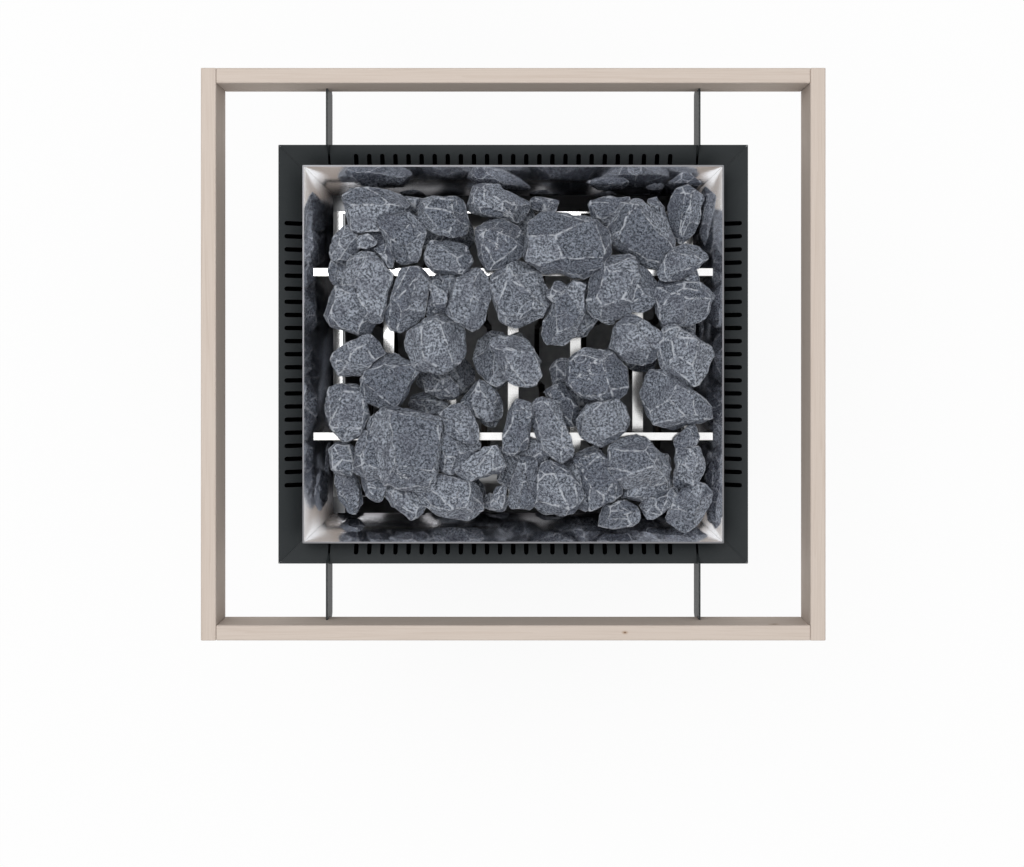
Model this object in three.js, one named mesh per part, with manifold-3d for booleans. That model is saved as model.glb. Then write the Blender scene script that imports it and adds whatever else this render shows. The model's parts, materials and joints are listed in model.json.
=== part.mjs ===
// Floor-standing electric sauna heater with a stone heap and a hook-on timber guard rail.
// Millimetres, +Z up, origin on the floor under the middle, front towards -Y.
import * as THREE from "three";
import { ConvexGeometry } from "three/addons/geometries/ConvexGeometry.js";
import { mergeVertices } from "three/addons/utils/BufferGeometryUtils.js";
import Module from "manifold-3d";

const wasm = await Module();
wasm.setup();

// Fits shared by all pieces
const SHEET = 1.5;
const SEAT_GAP = 0.3;
const CUT_MARGIN = 2;
const ROUND_SIDES = 10;
const DEGREE = Math.PI / 180;

// Casing of four folded panels
const CASING_WIDTH = 536;
const CASING_DEPTH = 478;
const CASING_TOP = 790;
const CASING_BOTTOM = 40;
const CASING_LIP = 8;
const FLANGE_RUN = 36;
const FLANGE_SLOPE = 30 * DEGREE;

// Air slots in the casing's top flange
const SLOT_PITCH = 15;
const SLOT_WIDTH = 5.2;
const SLOT_INNER_EDGE = 33;
const SLOT_ARC_STEPS = 2;
const SLOTS = { front: 25, back: 25, left: 21, right: 21 };
const SLOT_OUTER_EDGE = { front: 9.5, back: 9.5, left: 6.2, right: 6.2 };

// Flared collar round the stone well
const WELL_WIDTH = 418;
const WELL_DEPTH = 369;
const RIM_RISE = 8;
const COLLAR_HEIGHT = 42;
const COLLAR_RUN = 28.6;

// Cross bars in the collar
const BAR_BELOW_RIM = 13;
const BAR_WIDTH = 8.6;
const BAR_THICKNESS = 4;
const BAR_SPACING = 188;

// Inner chamber and the grate on its ledges
const CHAMBER_CLEARANCE = 4.5;
const LEDGE_WIDTH = 14;
const LEDGE_HEIGHT = 16;
const GRATE_BELOW_COLLAR = 36;
const GRATE_THICKNESS = 3;
const GRATE_DEPTH = 338;
const STRIP_WIDTH = 12.4;
const STRIP_PITCH = 73.75;
const STRIPS_EACH_SIDE = 2;
const SIDE_STRIP_WIDTH = 10.8;
const END_RAIL_THICKNESS = 2;
const END_RAIL_HEIGHT = 14;

// Heating elements and the terminal space under them
const ELEMENT_COUNT = 6;
const ELEMENT_PITCH = 70;
const ELEMENT_DIAMETER = 8.2;
const ELEMENT_SIDES = 6;
const ELEMENT_BEND = 40;
const ELEMENT_TOP_CLEARANCE = 26;
const ELEMENT_LIFT = 40;
const ELEMENT_TAIL = 25;
const BEND_STEPS = 5;
const CARRIER_TOP = 192;
const CARRIER_SHEET = 2;
const CARRIER_DEPTH = 356;
const CARRIER_INSET = 1;
const BOX_WIDTH = 390;
const BOX_DEPTH = 290;
const BOX_HEIGHT = 80;
const BLOCK_SIZE = new THREE.Vector3(110, 30, 24);
const BLOCK_POLES = 5;
const BLOCK_GROOVE = 2;
const GLAND_X = 120;
const GLAND_RADIUS = 8;
const GLAND_NUT_RADIUS = 12;
const GLAND_NUT = 8;
const GLAND_DOME = 12;
const GLAND_LENGTH = 40;

// Base frame and levelling feet
const BASE_TOP = 65;
const BASE_SHEET = 3;
const BASE_RING_WIDTH = 61;
const STUD_RADIUS = 5;
const STUD_RUNNING_GAP = 0.6;
const STUD_TOP = 84;
const NUT_RADIUS = 9.5;
const NUT_HEIGHT = 8;
const PAD_RADIUS = 20;
const PAD_HEIGHT = 8;
const PAD_CHAMFER = 2;

// Guard rail of four timbers on four hooked brackets
const TIMBER_THICKNESS = 17;
const TIMBER_HEIGHT = 60;
const TIMBER_CHAMFER = 1;
const RAIL_RISE = 50;
const RAIL_GAP = 62;
const BRACKET_X = 211;
const BRACKET_THICKNESS = 2;
const BRACKET_RISE = 16;
const BRACKET_HEIGHT = 50;
const HOOK_WIDTH = 9;
const HOOK_SHOULDER = 2.5;
const HOOK_DEPTH = 30;
const HOOK_PLAY = 0.4;
const TAB_WIDTH = 22;
const SLIT_LENGTH = 26;

// Stone heap
const STONE_SLENDERNESS = 0.56;
const HEAP_RISE = 26;
const HEAP_CORNER_DROP = 44;
const LARGE_STONE = 44;
const HEAP_WIDTH = 418;
const HEAP_DEPTH = 369;
const LOWER_SPREAD = 0.945;
const UPPER_SPREAD = 1.06;
const STONE_FUSE_DEPTH = 2;
const STONE_FUSE_LEAST = 1.2;
const STONE_FUSE_STEP = 0.1;

// Lower stones on the grate's strips: x, y, length, width, turn in degrees, taper towards the far end
const LOWER_STONES = [
  [-150, 128, 74, 60, 12, 0.1],
  [-152, -22, 62, 52, 70, 0.1],
  [-150, -112, 84, 62, 80, 0.0],
  [-74, 140, 72, 62, -10, 0.1],
  [-76, 62, 66, 66, 30, 0.0],
  [-74, -24, 70, 64, -25, 0.1],
  [-62, -108, 66, 60, 15, 0.0],
  [-66, -160, 74, 40, -6, 0.1],
  [-2, 150, 66, 60, 20, 0.0],
  [2, 66, 70, 62, -70, 0.0],
  [4, -8, 66, 52, -60, 0.1],
  [10, -128, 74, 66, 80, 0.0],
  [72, 132, 72, 66, -12, 0.1],
  [72, 50, 72, 62, 60, 0.0],
  [76, -48, 72, 62, -40, 0.0],
  [82, -142, 76, 66, -60, 0.1],
  [142, 142, 66, 62, -36, 0.0],
  [140, 74, 64, 54, 80, 0.0],
  [152, 6, 46, 62, -20, 0.0],
  [152, -136, 72, 70, -10, 0.1],
  [-196, 96, 46, 30, -80, 0.1],
  [-197, -66, 48, 32, 85, 0.0],
  [-197, -122, 46, 30, -88, 0.1],
  [198, 152, 54, 32, 84, 0.0],
  [197, 92, 52, 32, -84, 0.1],
  [198, 34, 54, 32, 88, 0.0],
  [198, -24, 52, 32, -86, 0.0],
  [198, -84, 54, 32, 84, 0.1],
  [197, -146, 56, 34, -88, 0.0],
  [-108, -166, 44, 30, 10, 0.0],
  [-22, -172, 42, 24, -10, 0.0],
  [40, -176, 44, 22, 4, 0.0],
  [122, -176, 46, 24, 8, 0.0],
  [-118, 172, 44, 24, -6, 0.0],
  [-36, 174, 40, 22, 8, 0.0],
  [36, 174, 40, 22, -8, 0.0],
  [106, 174, 42, 22, 6, 0.0],
];

// Upper stones from the lowest to the last laid, as seen from above, with the same six values
const UPPER_STONES = [
  [170, 160, 54, 18, -72, 0.2],
  [-142, 116, 36, 24, -60, 0.0],
  [-178, 50, 66, 54, -20, 0.0],
  [-82, 68, 38, 22, 90, 0.0],
  [52, 70, 30, 24, 60, 0.0],
  [104, 46, 36, 18, -30, 0.0],
  [-22, -4, 68, 48, -60, 0.0],
  [-33, -57, 50, 40, -40, 0.1],
  [-100, -57, 46, 26, -20, 0.0],
  [56, -25, 42, 26, -70, 0.0],
  [-160, -147, 38, 34, -30, 0.0],
  [170, -168, 62, 26, 32, 0.2],
  [113, 166, 50, 36, 10, 0.0],
  [-192, -121, 38, 34, -95, 0.3],
  [-188, -158, 52, 28, -80, 0.0],
  [-188, 122, 50, 44, -25, 0.0],
  [-177, -4, 62, 40, 28, 0.1],
  [200, -126, 46, 34, -70, 0.0],
  [-122, -164, 56, 34, -40, 0.1],
  [-16, -164, 34, 19, 75, 0.0],
  [119, -183, 54, 30, 6, 0.0],
  [-85, -34, 54, 30, -25, 0.1],
  [-8, 173, 80, 42, -15, 0.2],
  [-76, 157, 66, 46, -18, 0.0],
  [199, 160, 64, 42, -85, 0.0],
  [-155, 162, 56, 70, -90, 0.2],
  [-73, 112, 54, 44, 180, 0.2],
  [146, 136, 88, 58, -38, 0.1],
  [191, 104, 68, 38, 40, 0.0],
  [12, -148, 74, 32, 78, 0.2],
  [190, 56, 56, 66, -95, 0.3],
  [-48, 63, 66, 48, 75, 0.0],
  [-117, 62, 80, 44, 72, 0.0],
  [58, 43, 84, 43, 62, 0.1],
  [60, -59, 60, 26, -62, 0.1],
  [141, 13, 62, 54, -20, 0.1],
  [190, -5, 68, 58, -30, 0.1],
  [-141, -27, 70, 54, 62, 0.0],
  [-189, -63, 66, 48, -75, 0.0],
  [-58, -85, 56, 38, -65, 0.1],
  [43, -87, 76, 34, -68, 0.1],
  [6, -80, 70, 33, 80, 0.0],
  [-42, -124, 66, 35, 12, 0.1],
  [-70, -162, 86, 50, -14, 0.1],
  [101, -78, 64, 50, 20, 0.1],
  [180, -58, 88, 56, -38, 0.0],
  [48, -155, 64, 56, -30, 0.1],
  [92, -138, 68, 47, -68, 0.0],
  [201, -174, 58, 40, 55, 0.1],
  [146, -122, 80, 60, -12, 0.1],
  [-127, -106, 92, 84, -10, 0.0],
  [-122, 128, 62, 44, -80, 0.5],
  [-15, 124, 68, 58, -100, 0.3],
  [64, 125, 96, 72, -10, 0.1],
  [9, 66, 78, 62, -70, 0.0],
  [117, 76, 76, 64, 80, 0.0],
  [-167, 73, 84, 58, -88, 0.1],
  [-82, 14, 76, 60, 30, 0.2],
  [4, -6, 68, 43, -70, 0.1],
  [97, -22, 76, 60, -8, 0.0],
];

// Sizes worked out from those above
const FLANGE_DROP = FLANGE_RUN * Math.tan(FLANGE_SLOPE);
const COLLAR_RIM = CASING_TOP + RIM_RISE;
const COLLAR_BOTTOM = COLLAR_RIM - COLLAR_HEIGHT;
const COLLAR_LEAN = COLLAR_RUN / COLLAR_HEIGHT;
const COLLAR_WALL = SHEET * Math.hypot(1, COLLAR_LEAN);
const CHAMBER_WIDTH = WELL_WIDTH + 2 * CHAMBER_CLEARANCE;
const CHAMBER_DEPTH = WELL_DEPTH + 2 * CHAMBER_CLEARANCE;
const CHAMBER_BOTTOM = BASE_TOP + SEAT_GAP;
const CHAMBER_TOP = COLLAR_BOTTOM + (CHAMBER_CLEARANCE - COLLAR_WALL) / COLLAR_LEAN - SEAT_GAP;
const GRATE_TOP = COLLAR_BOTTOM - GRATE_BELOW_COLLAR;
const GRATE_BOTTOM = GRATE_TOP - GRATE_THICKNESS;
const GRATE_WIDTH = CHAMBER_WIDTH - 2 * SEAT_GAP;
const BASE_BOTTOM = CASING_BOTTOM + SHEET + SEAT_GAP;
const BASE_WIDTH = CASING_WIDTH - 2 * (SHEET + SEAT_GAP);
const BASE_DEPTH = CASING_DEPTH - 2 * (SHEET + SEAT_GAP);
const BOX_TOP = CARRIER_TOP - CARRIER_SHEET - SEAT_GAP;
const RAIL_WIDTH = CASING_WIDTH + 2 * (RAIL_GAP + TIMBER_THICKNESS);
const RAIL_DEPTH = CASING_DEPTH + 2 * (RAIL_GAP + TIMBER_THICKNESS);
const RAIL_TOP = CASING_TOP + RAIL_RISE;
const RAIL_BOTTOM = RAIL_TOP - TIMBER_HEIGHT;
const BRACKET_TOP = CASING_TOP + BRACKET_RISE;
const HEAP_TOP = COLLAR_RIM + HEAP_RISE;

// A piece of each side is drawn as a front piece and turned about Z.
const SIDES = {
  front: { turn: 0, alongX: true },
  right: { turn: Math.PI / 2, alongX: false },
  back: { turn: Math.PI, alongX: true },
  left: { turn: -Math.PI / 2, alongX: false },
};

const materials = {
  anthracite: new THREE.MeshStandardMaterial({ color: 0x33383a, roughness: 0.6, metalness: 0.2 }),
  polished: new THREE.MeshStandardMaterial({ color: 0xd4d5d6, roughness: 0.12, metalness: 1 }),
  steel: new THREE.MeshStandardMaterial({ color: 0x7b7d7f, roughness: 0.4, metalness: 1 }),
  bracket: new THREE.MeshStandardMaterial({ color: 0x6a6c6e, roughness: 0.45, metalness: 0.9 }),
  element: new THREE.MeshStandardMaterial({ color: 0x4b4642, roughness: 0.6, metalness: 0.8 }),
  stone: new THREE.MeshStandardMaterial({ color: 0x646a74, roughness: 0.9, metalness: 0 }),
  timber: new THREE.MeshStandardMaterial({ color: 0xd3c8be, roughness: 0.7, metalness: 0 }),
  plastic: new THREE.MeshStandardMaterial({ color: 0x1d1e1f, roughness: 0.6, metalness: 0 }),
  ceramic: new THREE.MeshStandardMaterial({ color: 0xe6e0d2, roughness: 0.5, metalness: 0 }),
};

const stove = new THREE.Group();

// Closed geometry as a solid that can be cut and joined.
function toSolid(geometry) {
  const bare = geometry.clone();
  bare.deleteAttribute("normal");
  bare.deleteAttribute("uv");
  const merged = mergeVertices(bare, 1e-4);
  const mesh = new wasm.Mesh({
    numProp: 3,
    vertProperties: merged.attributes.position.array,
    triVerts: new Uint32Array(merged.index.array),
  });
  return new wasm.Manifold(mesh);
}

function toGeometry(solid) {
  const mesh = solid.getMesh();
  const geometry = new THREE.BufferGeometry();
  geometry.setAttribute("position", new THREE.BufferAttribute(mesh.vertProperties, 3));
  geometry.setIndex(new THREE.BufferAttribute(mesh.triVerts, 1));
  geometry.computeVertexNormals();
  return geometry;
}

function addPiece(name, geometry, material, turn = 0) {
  const mesh = new THREE.Mesh(geometry, material);
  mesh.name = name;
  mesh.rotation.z = turn;
  stove.add(mesh);
}

function box(x0, x1, y0, y1, z0, z1) {
  const geometry = new THREE.BoxGeometry(x1 - x0, y1 - y0, z1 - z0);
  return geometry.translate((x0 + x1) / 2, (y0 + y1) / 2, (z0 + z1) / 2);
}

function outline(points) {
  return new THREE.Shape(points.map(([x, y]) => new THREE.Vector2(x, y)));
}

function rectangle(halfX, halfY) {
  return [[-halfX, -halfY], [halfX, -halfY], [halfX, halfY], [-halfX, halfY]];
}

function ringShape(halfX, halfY, width) {
  const shape = outline(rectangle(halfX, halfY));
  shape.holes.push(outline(rectangle(halfX - width, halfY - width)));
  return shape;
}

// A plan shape raised from z0 to z1.
function raised(shape, z0, z1, curveSegments = 1) {
  const options = { depth: z1 - z0, bevelEnabled: false, curveSegments };
  return new THREE.ExtrudeGeometry(shape, options).translate(0, 0, z0);
}

// A section in Y and Z drawn out along X, with its middle at x = 0.
function alongX(points, length) {
  const options = { depth: length, bevelEnabled: false };
  const geometry = new THREE.ExtrudeGeometry(outline(points), options);
  return geometry.rotateX(Math.PI / 2).rotateZ(Math.PI / 2).translate(-length / 2, 0, 0);
}

// A section in X and Z drawn out along Y, with its middle at y = 0.
function alongY(points, length) {
  return alongX(points, length).rotateZ(-Math.PI / 2);
}

// Casing panels: wall, sloped top flange with air slots, and a bottom lip
function casingPanel(side) {
  const length = SIDES[side].alongX ? CASING_WIDTH : CASING_DEPTH;
  const face = -(SIDES[side].alongX ? CASING_DEPTH : CASING_WIDTH) / 2;
  const under = SHEET / Math.cos(FLANGE_SLOPE);
  const section = [
    [face, CASING_BOTTOM],
    [face + CASING_LIP, CASING_BOTTOM],
    [face + CASING_LIP, CASING_BOTTOM + SHEET],
    [face + SHEET, CASING_BOTTOM + SHEET],
    [face + SHEET, CASING_TOP - SHEET * Math.tan(FLANGE_SLOPE) - under],
    [face + FLANGE_RUN, CASING_TOP - FLANGE_DROP - under],
    [face + FLANGE_RUN, CASING_TOP - FLANGE_DROP],
    [face, CASING_TOP],
  ];
  const end = length / 2 - SEAT_GAP / 2;
  const reach = FLANGE_RUN + CUT_MARGIN;
  const mitre = outline([
    [-end, face], [end, face], [end - reach, face + reach], [-end + reach, face + reach],
  ]);
  const limits = raised(mitre, CASING_BOTTOM - CUT_MARGIN, CASING_TOP + CUT_MARGIN);
  const cuts = [...airSlots(side), ...hookSlits(side)];
  const cutter = raised(cuts, -3 * SHEET, SHEET, SLOT_ARC_STEPS);
  cutter.rotateX(-FLANGE_SLOPE).translate(0, face, CASING_TOP);
  return toGeometry(toSolid(alongX(section, length)).intersect(toSolid(limits)).subtract(toSolid(cutter)));
}

// Slots lie in the flange's own plane: x along the edge, y down the slope.
function airSlots(side) {
  const outer = SLOT_OUTER_EDGE[side] / Math.cos(FLANGE_SLOPE);
  const inner = SLOT_INNER_EDGE / Math.cos(FLANGE_SLOPE);
  const half = SLOT_WIDTH / 2;
  const slots = [];
  for (let i = 0; i < SLOTS[side]; i++) {
    const x = (i - (SLOTS[side] - 1) / 2) * SLOT_PITCH;
    const slot = new THREE.Shape();
    slot.moveTo(x + half, inner);
    slot.lineTo(x - half, inner);
    slot.absarc(x, outer + half, half, Math.PI, 2 * Math.PI, false);
    slots.push(slot);
  }
  return slots;
}

function hookSlits(side) {
  if (!SIDES[side].alongX) return [];
  const half = BRACKET_THICKNESS / 2 + SEAT_GAP;
  const start = (SHEET + HOOK_PLAY / 2) / Math.cos(FLANGE_SLOPE);
  const stop = start + SLIT_LENGTH / Math.cos(FLANGE_SLOPE);
  return [-BRACKET_X, BRACKET_X].map((x) =>
    outline([[x - half, start], [x + half, start], [x + half, stop], [x - half, stop]]),
  );
}

// Collar walls: flat sheets that lean outwards and meet in mitred corners
function collarWall(side) {
  const length = SIDES[side].alongX ? WELL_WIDTH : WELL_DEPTH;
  const face = -(SIDES[side].alongX ? WELL_DEPTH : WELL_WIDTH) / 2;
  const section = [
    [face, COLLAR_BOTTOM],
    [face - COLLAR_RUN, COLLAR_RIM],
    [face - COLLAR_RUN - COLLAR_WALL, COLLAR_RIM],
    [face - COLLAR_WALL, COLLAR_BOTTOM],
  ];
  const end = length / 2 - SEAT_GAP / 2;
  const reach = COLLAR_RUN + COLLAR_WALL + CUT_MARGIN;
  const mitre = outline([
    [-end, face], [end, face], [end + reach, face - reach], [-end - reach, face - reach],
  ]);
  const limits = raised(mitre, COLLAR_BOTTOM - CUT_MARGIN, COLLAR_RIM + CUT_MARGIN);
  return toGeometry(toSolid(alongX(section, length + 2 * reach)).intersect(toSolid(limits)));
}

// Chamber walls: plain at the front and back, with a grate ledge at the sides
function chamberWall(side) {
  if (SIDES[side].alongX) {
    const face = -CHAMBER_DEPTH / 2;
    const half = CHAMBER_WIDTH / 2 + SHEET;
    return box(-half, half, face - SHEET, face, CHAMBER_BOTTOM, CHAMBER_TOP);
  }
  const face = -CHAMBER_WIDTH / 2;
  const ledgeTop = GRATE_BOTTOM - SEAT_GAP;
  const section = [
    [face - SHEET, CHAMBER_BOTTOM],
    [face, CHAMBER_BOTTOM],
    [face, ledgeTop - LEDGE_HEIGHT],
    [face + SHEET, ledgeTop - LEDGE_HEIGHT],
    [face + SHEET, ledgeTop - SHEET],
    [face + LEDGE_WIDTH, ledgeTop - SHEET],
    [face + LEDGE_WIDTH, ledgeTop],
    [face, ledgeTop],
    [face, CHAMBER_TOP],
    [face - SHEET, CHAMBER_TOP],
  ];
  return alongX(section, CHAMBER_DEPTH - 2 * SEAT_GAP);
}

// Cross bars: flat bars whose slanted ends rest on the collar's side walls
function crossBar(y) {
  const top = COLLAR_RIM - BAR_BELOW_RIM;
  const bottom = top - BAR_THICKNESS;
  const endAt = (z) => WELL_WIDTH / 2 + (z - COLLAR_BOTTOM) * COLLAR_LEAN - SEAT_GAP;
  const section = [
    [-endAt(bottom), bottom], [endAt(bottom), bottom], [endAt(top), top], [-endAt(top), top],
  ];
  return alongY(section, BAR_WIDTH).translate(0, y, 0);
}

// Grate: flat strips along the depth, framed by side strips and upright end rails
function stripEdges() {
  const edges = [];
  for (let i = -STRIPS_EACH_SIDE; i <= STRIPS_EACH_SIDE; i++) {
    edges.push([i * STRIP_PITCH - STRIP_WIDTH / 2, i * STRIP_PITCH + STRIP_WIDTH / 2]);
  }
  const outer = GRATE_WIDTH / 2;
  return [[-outer, SIDE_STRIP_WIDTH - outer], ...edges, [outer - SIDE_STRIP_WIDTH, outer]];
}

function stoneGrate() {
  const halfX = GRATE_WIDTH / 2;
  const halfY = GRATE_DEPTH / 2;
  const inside = halfY - END_RAIL_THICKNESS;
  const edges = stripEdges();
  let grate = toSolid(box(-halfX, halfX, -halfY, halfY, GRATE_BOTTOM, GRATE_TOP));
  for (let i = 1; i < edges.length; i++) {
    const [x0, x1] = [edges[i - 1][1], edges[i][0]];
    const opening = box(x0, x1, -inside, inside, GRATE_BOTTOM - CUT_MARGIN, GRATE_TOP + CUT_MARGIN);
    grate = grate.subtract(toSolid(opening));
  }
  const railHalf = halfX - LEDGE_WIDTH - SEAT_GAP;
  for (const y of [-halfY, inside]) {
    const rail = box(-railHalf, railHalf, y, y + END_RAIL_THICKNESS, GRATE_TOP - END_RAIL_HEIGHT, GRATE_TOP);
    grate = grate.add(toSolid(rail));
  }
  return toGeometry(grate);
}

// A tube's centre line through knots that sit close only in its bends.
class BentLine extends THREE.Curve {
  constructor(knots) {
    super();
    this.knots = knots;
  }
  getPointAt(u, target = new THREE.Vector3()) {
    return target.copy(this.knots[Math.round(u * (this.knots.length - 1))].point);
  }
  getTangentAt(u, target = new THREE.Vector3()) {
    return target.copy(this.knots[Math.round(u * (this.knots.length - 1))].tangent);
  }
}

function knot(y, z, angle) {
  return {
    point: new THREE.Vector3(0, y, z),
    tangent: new THREE.Vector3(0, Math.cos(angle), Math.sin(angle)),
  };
}

// Heating elements: four upright legs in one plane, joined by three bends
function elementLine() {
  const r = ELEMENT_BEND;
  const tail = CARRIER_TOP - CARRIER_SHEET - ELEMENT_TAIL;
  const upper = GRATE_BOTTOM - ELEMENT_TOP_CLEARANCE - r - ELEMENT_DIAMETER / 2;
  const lower = CARRIER_TOP + ELEMENT_LIFT + r;
  const knots = [knot(-3 * r, tail, Math.PI / 2)];
  for (const [y, z, over] of [[-2 * r, upper, 1], [0, lower, -1], [2 * r, upper, 1]]) {
    for (let i = 0; i <= BEND_STEPS; i++) {
      const swing = (i / BEND_STEPS) * Math.PI;
      const angle = over * (Math.PI / 2 - swing);
      knots.push(knot(y - r * Math.cos(swing), z + over * r * Math.sin(swing), angle));
    }
  }
  knots.push(knot(3 * r, tail, -Math.PI / 2));
  return new BentLine(knots);
}

function circlePoints(radius, sides) {
  const points = [];
  for (let i = 0; i < sides; i++) {
    const angle = ((i + 0.5) / sides) * 2 * Math.PI;
    points.push([radius * Math.cos(angle), radius * Math.sin(angle)]);
  }
  return points;
}

function elementPlaces() {
  return Array.from({ length: ELEMENT_COUNT }, (_, i) => (i - (ELEMENT_COUNT - 1) / 2) * ELEMENT_PITCH);
}

function heatingElement(x) {
  const line = elementLine();
  const options = { steps: line.knots.length - 1, extrudePath: line, bevelEnabled: false };
  const ring = outline(circlePoints(ELEMENT_DIAMETER / 2, ELEMENT_SIDES));
  return new THREE.ExtrudeGeometry(ring, options).translate(x, 0, 0);
}

// Element carrier: a folded bridge that stands on the base frame
function elementCarrier() {
  const outer = CHAMBER_WIDTH / 2 - CARRIER_INSET;
  const inner = outer - CARRIER_SHEET;
  const bottom = BASE_TOP + SEAT_GAP;
  const under = CARRIER_TOP - CARRIER_SHEET;
  const section = [
    [-outer, bottom], [-inner, bottom], [-inner, under], [inner, under],
    [inner, bottom], [outer, bottom], [outer, CARRIER_TOP], [-outer, CARRIER_TOP],
  ];
  const radius = ELEMENT_DIAMETER / 2 + SEAT_GAP;
  const holes = [];
  for (const x of elementPlaces()) {
    for (const y of [-3 * ELEMENT_BEND, 3 * ELEMENT_BEND]) {
      holes.push(outline(circlePoints(radius, ELEMENT_SIDES).map(([dx, dy]) => [x + dx, y + dy])));
    }
  }
  const drill = raised(holes, under - CUT_MARGIN, CARRIER_TOP + CUT_MARGIN);
  return toGeometry(toSolid(alongY(section, CARRIER_DEPTH)).subtract(toSolid(drill)));
}

// Terminal box: four walls under the carrier, with a hole for the cable gland
function glandHeight() {
  return BOX_TOP - BOX_HEIGHT / 2;
}

function terminalBox() {
  const walls = raised(ringShape(BOX_WIDTH / 2, BOX_DEPTH / 2, SHEET), BOX_TOP - BOX_HEIGHT, BOX_TOP);
  const hole = outline(circlePoints(GLAND_RADIUS + SEAT_GAP, ROUND_SIDES));
  const drill = raised(hole, -2 * SHEET, 2 * SHEET).rotateX(Math.PI / 2);
  drill.translate(GLAND_X, BOX_DEPTH / 2 - SHEET / 2, glandHeight());
  return toGeometry(toSolid(walls).subtract(toSolid(drill)));
}

// Cover: a shallow pan that closes the terminal box from below
function terminalCover() {
  const top = BOX_TOP - BOX_HEIGHT - SEAT_GAP;
  const halfX = BOX_WIDTH / 2 + SEAT_GAP + SHEET;
  const halfY = BOX_DEPTH / 2 + SEAT_GAP + SHEET;
  const plate = raised(outline(rectangle(halfX, halfY)), top - SHEET, top);
  const rim = raised(ringShape(halfX, halfY, SHEET), top - SHEET, top + LEDGE_WIDTH);
  return toGeometry(toSolid(plate).add(toSolid(rim)));
}

// Terminal block: a ceramic bar with grooves between its poles
function terminalBlock() {
  const top = CARRIER_TOP - CARRIER_SHEET - SEAT_GAP;
  const half = BLOCK_SIZE.x / 2;
  const pitch = BLOCK_SIZE.x / BLOCK_POLES;
  const section = [[-half, top], [-half, top - BLOCK_SIZE.z]];
  for (let i = 1; i < BLOCK_POLES; i++) {
    const x = i * pitch - half;
    const bottom = top - BLOCK_SIZE.z;
    const floor = top - BLOCK_SIZE.z / 2;
    section.push([x - BLOCK_GROOVE / 2, bottom], [x - BLOCK_GROOVE / 2, floor]);
    section.push([x + BLOCK_GROOVE / 2, floor], [x + BLOCK_GROOVE / 2, bottom]);
  }
  section.push([half, top - BLOCK_SIZE.z], [half, top]);
  return alongY(section, BLOCK_SIZE.y);
}

// Cable gland: a sleeve through the box wall with a hexagon outside and a locknut shoulder inside
function cableGland() {
  const sleeve = new THREE.CylinderGeometry(GLAND_RADIUS, GLAND_RADIUS, GLAND_LENGTH, ROUND_SIDES);
  const nut = new THREE.CylinderGeometry(GLAND_NUT_RADIUS, GLAND_NUT_RADIUS, GLAND_NUT, 6);
  const dome = new THREE.CylinderGeometry(GLAND_RADIUS, GLAND_NUT_RADIUS - 1, GLAND_DOME, ROUND_SIDES);
  const bore = new THREE.CylinderGeometry(GLAND_RADIUS / 2, GLAND_RADIUS / 2, 2 * GLAND_LENGTH, ROUND_SIDES);
  nut.translate(0, SHEET / 2 + SEAT_GAP + GLAND_NUT / 2, 0);
  dome.translate(0, SHEET / 2 + SEAT_GAP + GLAND_NUT + GLAND_DOME / 2, 0);
  const gland = toSolid(sleeve).add(toSolid(nut)).add(toSolid(dome)).subtract(toSolid(bore));
  return toGeometry(gland).translate(GLAND_X, BOX_DEPTH / 2 - SHEET / 2, glandHeight());
}

// Base frame: a channel ring that carries the casing, the chamber and the feet
function footPlaces() {
  const x = BASE_WIDTH / 2 - BASE_RING_WIDTH / 2;
  const y = BASE_DEPTH / 2 - BASE_RING_WIDTH / 2;
  return { front_left: [-x, -y], front_right: [x, -y], back_left: [-x, y], back_right: [x, y] };
}

function baseFrame() {
  const ring = raised(ringShape(BASE_WIDTH / 2, BASE_DEPTH / 2, BASE_RING_WIDTH), BASE_BOTTOM, BASE_TOP);
  const channel = ringShape(
    BASE_WIDTH / 2 - BASE_SHEET,
    BASE_DEPTH / 2 - BASE_SHEET,
    BASE_RING_WIDTH - 2 * BASE_SHEET,
  );
  const hollow = raised(channel, BASE_BOTTOM - CUT_MARGIN, BASE_TOP - BASE_SHEET);
  const radius = STUD_RADIUS + STUD_RUNNING_GAP;
  const holes = Object.values(footPlaces()).map(([x, y]) =>
    outline(circlePoints(radius, ROUND_SIDES).map(([dx, dy]) => [x + dx, y + dy])),
  );
  const drill = raised(holes, BASE_TOP - BASE_SHEET - CUT_MARGIN, BASE_TOP + CUT_MARGIN);
  return toGeometry(toSolid(ring).subtract(toSolid(hollow)).subtract(toSolid(drill)));
}

// Levelling feet: pad, stud and the hexagon that bears on the base frame
function levellingFoot(x, y) {
  const profile = [
    [0, 0],
    [PAD_RADIUS, 0],
    [PAD_RADIUS, PAD_HEIGHT - PAD_CHAMFER],
    [PAD_RADIUS - PAD_CHAMFER, PAD_HEIGHT],
    [STUD_RADIUS, PAD_HEIGHT],
    [STUD_RADIUS, STUD_TOP],
    [0, STUD_TOP],
  ];
  const turned = new THREE.LatheGeometry(profile.map(([r, z]) => new THREE.Vector2(r, z)), ROUND_SIDES);
  turned.rotateX(Math.PI / 2);
  const nutTop = BASE_TOP - BASE_SHEET - SEAT_GAP;
  const nut = raised(outline(circlePoints(NUT_RADIUS, 6)), nutTop - NUT_HEIGHT, nutTop);
  return toGeometry(toSolid(turned).add(toSolid(nut))).translate(x, y, 0);
}

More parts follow.
